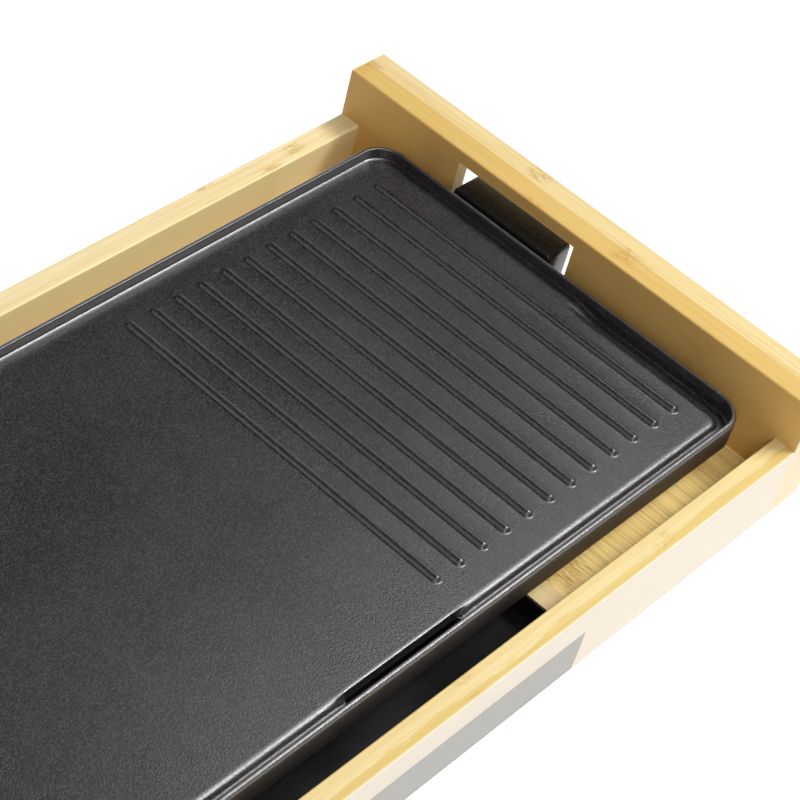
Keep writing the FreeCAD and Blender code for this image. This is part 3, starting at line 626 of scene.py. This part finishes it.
def plateGrid():
    # places of the deck's columns and rows
    p, g = plateFacts, gridFacts
    inner = p["right"] - p["rim"]
    bend = p["corner"] - p["rim"] + g["bendMargin"]
    columns = steps(inner - bend, inner + g["past"], g["curve"])
    columns += steps(p["drainHalf"] - g["drainIn"], p["drainHalf"] + p["drainRamp"], g["drain"])
    columns += [-x for x in columns]
    for i in range(p["ribs"]):
        middle = p["ribFirst"] + i * p["ribPitch"]
        columns += steps(middle - g["ribSide"], middle + g["ribSide"], g["rib"])
    front = p["front"] + p["rim"] - g["past"]
    back = p["back"] - p["rim"] + g["past"]
    rows = steps(front, p["plateauFront"] + g["frontReach"], g["front"])
    rows += steps(front, front + bend, g["curve"])
    rows += steps(back - bend, back, g["curve"])
    rows += steps(p["ribFront"] - g["ribOut"], p["ribFront"] + g["ribIn"], g["rib"])
    rows += steps(p["ribBack"] - g["ribIn"], p["ribBack"] + g["ribOut"], g["rib"])
    rows += steps(p["channelStart"] - p["channelRamp"] - g["channelMargin"],
                  p["channelStart"] + g["channelMargin"], g["channel"])
    return [thinned(fillGaps(marks, g["widest"]), g["least"]) for marks in (columns, rows)]


def skirted(bm, z):
    # the open rim extruded to a height; gives the new edges
    rim = [edge for edge in bm.edges if len(edge.link_faces) == 1]
    grown = bmesh.ops.extrude_edge_only(bm, edges=rim)["geom"]
    for item in grown:
        if isinstance(item, bmesh.types.BMVert):
            item.co.z = z
    return [item for item in grown if isinstance(item, bmesh.types.BMEdge)]


def makePlateDeck():
    p, g = plateFacts, gridFacts
    columns, rows = plateGrid()
    bm = bmesh.new()
    bmesh.ops.create_grid(bm, x_segments=len(columns) - 1, y_segments=len(rows) - 1, size=1.0)
    inner = p["right"] - p["rim"]
    limits = (-inner, inner, p["front"] + p["rim"], p["back"] - p["rim"])
    radius = p["corner"] - p["rim"]
    most = g["past"] + g["slack"]
    for vert in bm.verts:
        x = columns[round((vert.co.x + 1) / 2 * (len(columns) - 1))]
        y = rows[round((vert.co.y + 1) / 2 * (len(rows) - 1))]
        vert.co = Vector((x, y, 0))
    past = {vert for vert in bm.verts if roundedDistance(vert.co.x, vert.co.y, *limits, radius) > most}
    bmesh.ops.delete(bm, geom=[face for face in bm.faces if past.issuperset(face.verts)], context="FACES")
    for vert in bm.verts:
        x, y = vert.co.x, vert.co.y
        if roundedDistance(x, y, *limits, radius) > most:
            # pull what lies past a round corner back to just behind the wall's face
            cx = max(limits[0] + radius, min(limits[1] - radius, x))
            cy = max(limits[2] + radius, min(limits[3] - radius, y))
            pull = (radius + g["past"]) / math.hypot(x - cx, y - cy)
            x, y = cx + (x - cx) * pull, cy + (y - cy) * pull
        vert.co = Vector((x, y, plateSurface(x, y))) * mm
    bmesh.ops.remove_doubles(bm, verts=bm.verts, dist=g["weld"])
    bmesh.ops.contextual_create(bm, geom=skirted(bm, p["deckUnder"] * mm))
    bmesh.ops.recalc_face_normals(bm, faces=bm.faces)
    return scratchObject(bm, "deck")


def roundedFace(bm, x, y0, y1, z, radius, segments):
    bmesh.ops.create_grid(bm, x_segments=1, y_segments=1, size=1.0)
    for vert in bm.verts:
        vert.co = Vector((vert.co.x * x, y0 if vert.co.y < 0 else y1, z)) * mm
    bmesh.ops.bevel(bm, geom=list(bm.verts), offset=radius * mm, offset_type="OFFSET", segments=segments,
                    profile=0.5, affect="VERTICES", material=-1)
    return bm.faces[:][0]


def raised(bm, face, z):
    # the face extruded to another height; gives the new face
    grown = bmesh.ops.extrude_face_region(bm, geom=[face])["geom"]
    face = [item for item in grown if isinstance(item, bmesh.types.BMFace)][0]
    for vert in face.verts:
        vert.co.z = z * mm
    return face


def insetTo(bm, face, thickness, z):
    bmesh.ops.inset_region(bm, faces=[face], thickness=thickness * mm, use_even_offset=True)
    for vert in face.verts:
        vert.co.z = z * mm
    return face


def sunk(bm, face, z):
    # the face moved to another height, with walls in its place
    lower = raised(bm, face, z)
    bmesh.ops.delete(bm, geom=[face], context="FACES_ONLY")
    return lower


def makePlateWall():
    p = plateFacts
    bm = bmesh.new()
    under = roundedFace(bm, p["right"], p["front"], p["back"], p["skirt"], p["corner"], p["cornerSegments"])
    face = raised(bm, under, p["top"] - p["rimOuter"])
    # the rim's wide outer round, then its tight inner one
    outer, inner = p["rimOuter"], p["rimInner"]
    profile = [(outer * (1 - math.cos(angle)), outer * (1 - math.sin(angle)))
               for angle in map(math.radians, p["outerAngles"])]
    profile += [(outer + inner * math.sin(angle), inner * (1 - math.cos(angle)))
                for angle in map(math.radians, p["innerAngles"])]
    last = 0.0
    for across, drop in profile:
        face = insetTo(bm, face, across - last, p["top"] - drop)
        last = across
    sunk(bm, face, p["deckUnder"] + p["wallInside"])
    lower = min(bm.faces, key=lambda f: f.calc_center_median().z)
    lower = insetTo(bm, lower, p["rim"], p["skirt"])
    sunk(bm, lower, p["deckUnder"] + p["skirtInside"])
    bmesh.ops.recalc_face_normals(bm, faces=bm.faces)
    return scratchObject(bm, "wall")


def makeDrainCutter():
    p = plateFacts
    half = p["drainWidth"] / 2
    bm = bmesh.new()
    face = roundedFace(bm, p["drainHalf"], p["drainMiddle"] - half, p["drainMiddle"] + half,
                       p["skirt"] - p["cutMargin"], half * p["drainEnd"], p["drainSegments"])
    raised(bm, face, p["top"] + p["cutMargin"])
    bmesh.ops.recalc_face_normals(bm, faces=bm.faces)
    return scratchObject(bm, "drain")


def boxMesh(low, high):
    bm = bmesh.new()
    bmesh.ops.create_cube(bm, size=1.0)
    for vert in bm.verts:
        vert.co = Vector([(a + b) / 2 + (b - a) * part for a, b, part in zip(low, high, vert.co)]) * mm
    return bm


def boxObject(low, high, name):
    return scratchObject(boxMesh(low, high), name)


def makeUnderside():
    # the casting's ridge and bosses, out of the frame's own plate, just inside the walls
    p = plateFacts
    within = p["rim"] + p["underGap"]
    bm = bmesh.new()
    face = roundedFace(bm, p["right"] - within, p["front"] + within, p["back"] - within,
                       p["skirt"] - p["underDepth"], p["corner"] - p["rim"], p["underSegments"])
    raised(bm, face, p["underside"])
    bmesh.ops.recalc_face_normals(bm, faces=bm.faces)
    keep = scratchObject(bm, "keep")
    bm = bmesh.new()
    bm.from_mesh(nodes["grill_plate"].data)
    bmesh.ops.remove_doubles(bm, verts=bm.verts, dist=1e-6)
    return combined(scratchObject(bm, "underside"), keep, "INTERSECT")


def takenMesh(piece):
    bm = bmesh.new()
    bm.from_mesh(piece.data)
    bpy.data.objects.remove(piece)
    return bm


def makeHotPlate():
    p = plateFacts
    plate = combined(makePlateWall(), makePlateDeck(), "UNION")
    plate = combined(plate, boxObject(*p["notch"], "notch"), "DIFFERENCE")
    plate = combined(plate, makeUnderside(), "UNION")
    plate = combined(plate, makeDrainCutter(), "DIFFERENCE")
    finishMesh(takenMesh(plate), "hot_plate_casting", "castCoating", "hot_plate", ["grill_plate"],
               p["sharp"])


makeHotPlate()
print("hot plate made")


# the plug socket's two halves
housingFacts = {
    "round": 2.2, "edge": 0.9, "longEdge": 5.0, "wall": 2.6, "backWall": 3.2, "seam": 0.08,
    "split": 44.5, "middle": 34.05, "pins": 12.0, "insulator": 4.65, "sleeve": 3.65, "drill": 6.0,
    "screwSide": 18.0, "screwRise": 51.0, "boss": 4.0, "bossLength": 8.0, "screw": 1.6, "screwDrill": 8.0,
    "inset": 1.0, "margin": 5.0, "openMargin": 20.0, "sharp": 30,
    "earth": ((-1, 30.95, 38.65), (4.3, 37.15, 39.65)),
}


def rodAlongX(x, y, z, radius, length, name):
    bm = bmesh.new()
    place = Matrix.Translation(Vector((x + length / 2, y, z)) * mm) @ Matrix.Rotation(quarter, 4, "Y")
    bmesh.ops.create_cone(bm, cap_ends=True, segments=32, radius1=radius * mm, radius2=radius * mm,
                          depth=length * mm, matrix=place)
    return scratchObject(bm, name)


def bevelEdges(bm, edges, offset, segments):
    bmesh.ops.bevel(bm, geom=edges, offset=offset * mm, offset_type="OFFSET", segments=segments, profile=0.5,
                    affect="EDGES", material=-1)


def alongX(edge):
    return abs((edge.verts[0].co - edge.verts[1].co).x)


def makeHousingShell(low, high):
    f = housingFacts
    bm = boxMesh(low, high)
    bevelEdges(bm, [edge for edge in bm.edges if alongX(edge) > f["longEdge"] * mm], f["round"], 5)
    ends = [edge for edge in bm.edges if edge.calc_face_angle(0) > 1 and alongX(edge) < 0.01 * mm]
    bevelEdges(bm, ends, f["edge"], 3)
    return scratchObject(bm, "shell")


def makeHousingHalf(name, node, low, high, keepLow, keepHigh):
    f = housingFacts
    start = low[0]

    def drilled(half, y, z, radius, length):
        return combined(half, rodAlongX(start - f["inset"], y, z, radius, length, "hole"), "DIFFERENCE")

    hollow = (
        [low[0] + f["backWall"], low[1] + f["wall"], low[2] + f["wall"]],
        [high[0] + f["margin"], high[1] - f["wall"], high[2] - f["wall"]],
    )
    half = combined(makeHousingShell(low, high), boxObject(*hollow, "hollow"), "DIFFERENCE")
    for side in (-1, 1):
        y = f["middle"] + side * f["screwSide"]
        boss = rodAlongX(start + f["inset"], y, f["screwRise"], f["boss"], f["bossLength"], "boss")
        half = combined(half, boss, "UNION")
        half = drilled(half, y, f["screwRise"], f["screw"], f["screwDrill"])
        half = drilled(half, f["middle"] + side * f["pins"], f["split"], f["insulator"], f["drill"])
    half = drilled(half, f["middle"], f["split"], f["sleeve"], f["drill"])
    earth = [[corner[0] + start, corner[1], corner[2]] for corner in f["earth"]]
    half = combined(half, boxObject(*earth, "earth"), "DIFFERENCE")
    half = combined(half, boxObject(keepLow, keepHigh, "half"), "INTERSECT")
    finishMesh(takenMesh(half), name, "phenolic", "hot_plate", [node], f["sharp"])


def makeHousing():
    f = housingFacts
    upper = [Vector(corner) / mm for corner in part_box("socket_housing_upper")]
    lower = [Vector(corner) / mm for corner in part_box("socket_housing_lower")]
    low, high = lower[0], upper[1]
    small, large = f["margin"], f["openMargin"]
    above = (low.x - small, low.y - small, f["split"] + f["seam"]), high + Vector((large, small, small))
    below = low - Vector((small, small, small)), (high.x + large, high.y + small, f["split"] - f["seam"])
    makeHousingHalf("socket_shell_upper", "socket_housing_upper", low, high, *above)
    makeHousingHalf("socket_shell_lower", "socket_housing_lower", low, high, *below)


makeHousing()
print("socket made")


# floor, backdrop and light
stageFacts = {
    "sky": 0.07, "floorColour": (0.82, 0.82, 0.82), "rough": 0.9, "specular": 0.1, "below": 0.0002,
    "lift": (0.55, 0.97), "liftSpan": (0.7, 2.6), "radius": 6.0, "backdropHeight": 2.5,
}
lampFacts = {
    "key": {"place": (1.21, -0.90, 1.66), "size": (0.7, 0.35), "power": 27.0, "colour": (1.0, 0.99, 0.97)},
    "front": {"place": (0.0, -0.9, 2.0), "size": (1.4, 0.3), "power": 12.0, "colour": (1.0, 1.0, 1.0)},
    "fill": {"place": (-1.0, -1.0, 1.1), "size": (1.2, 1.2), "power": 9.0, "colour": (1.0, 0.98, 0.95)},
    "panel": {"place": (0.95, -0.12, 1.5), "size": (0.9, 0.9), "power": 9.6, "colour": (1.0, 1.0, 1.0)},
}


def makeWorld():
    world = bpy.data.worlds.new("studio")
    bpy.context.scene.world = world
    world.use_nodes = True
    tree = world.node_tree
    tree.nodes.clear()
    output = tree.nodes.new("ShaderNodeOutputWorld")
    sky = addNode(tree, "ShaderNodeBackground", Color=(1, 1, 1), Strength=stageFacts["sky"])
    tree.links.new(sky.outputs[0], output.inputs["Surface"])


def makeFloor():
    # a round floor with a low wall all round it as the backdrop
    f = stageFacts
    bm = bmesh.new()
    bmesh.ops.create_circle(bm, cap_ends=True, segments=96, radius=f["radius"])
    skirted(bm, f["backdropHeight"])
    floor = scratchObject(bm, "studio_floor")
    floor.data.transform(Matrix.Translation((0, 0, -f["below"])))
    material, tree, shader, coordinate = newMaterial("studioFloor")
    shader.inputs["Base Color"].default_value = (*f["floorColour"], 1)
    shader.inputs["Roughness"].default_value = f["rough"]
    shader.inputs["Specular IOR Level"].default_value = f["specular"]
    shader.inputs["Emission Color"].default_value = (1, 1, 1, 1)
    # a lift that only the camera and mirrors see, so that the floor is white and keeps the shadow
    path = tree.nodes.new("ShaderNodeLightPath")
    seen = mathNode(tree, "MAXIMUM", path.outputs["Is Camera Ray"], path.outputs["Is Glossy Ray"])
    seen = mathNode(tree, "MAXIMUM", seen, path.outputs["Is Transmission Ray"])
    away = addNode(tree, "ShaderNodeVectorMath", {"operation": "LENGTH"}, in0=coordinate)
    lift = rangeNode(tree, away.outputs["Value"], *f["liftSpan"], *f["lift"])
    tree.links.new(mathNode(tree, "MULTIPLY", seen, lift), shader.inputs["Emission Strength"])
    floor.data.materials.append(material)


def makeLamp(name, facts):
    data = bpy.data.lights.new(name, "AREA")
    data.shape = "RECTANGLE"
    data.size, data.size_y = facts["size"]
    data.energy = facts["power"]
    data.color = facts["colour"]
    lamp = bpy.data.objects.new(name, data)
    bpy.context.scene.collection.objects.link(lamp)
    place = Vector(facts["place"])
    lamp.matrix_world = Matrix.Translation(place) @ (-place).to_track_quat("-Z", "Y").to_matrix().to_4x4()


makeWorld()
makeFloor()
for lampName, lamp in lampFacts.items():
    makeLamp(lampName, lamp)
bpy.context.scene.view_settings.view_transform = "Standard"
print("light and floor set")
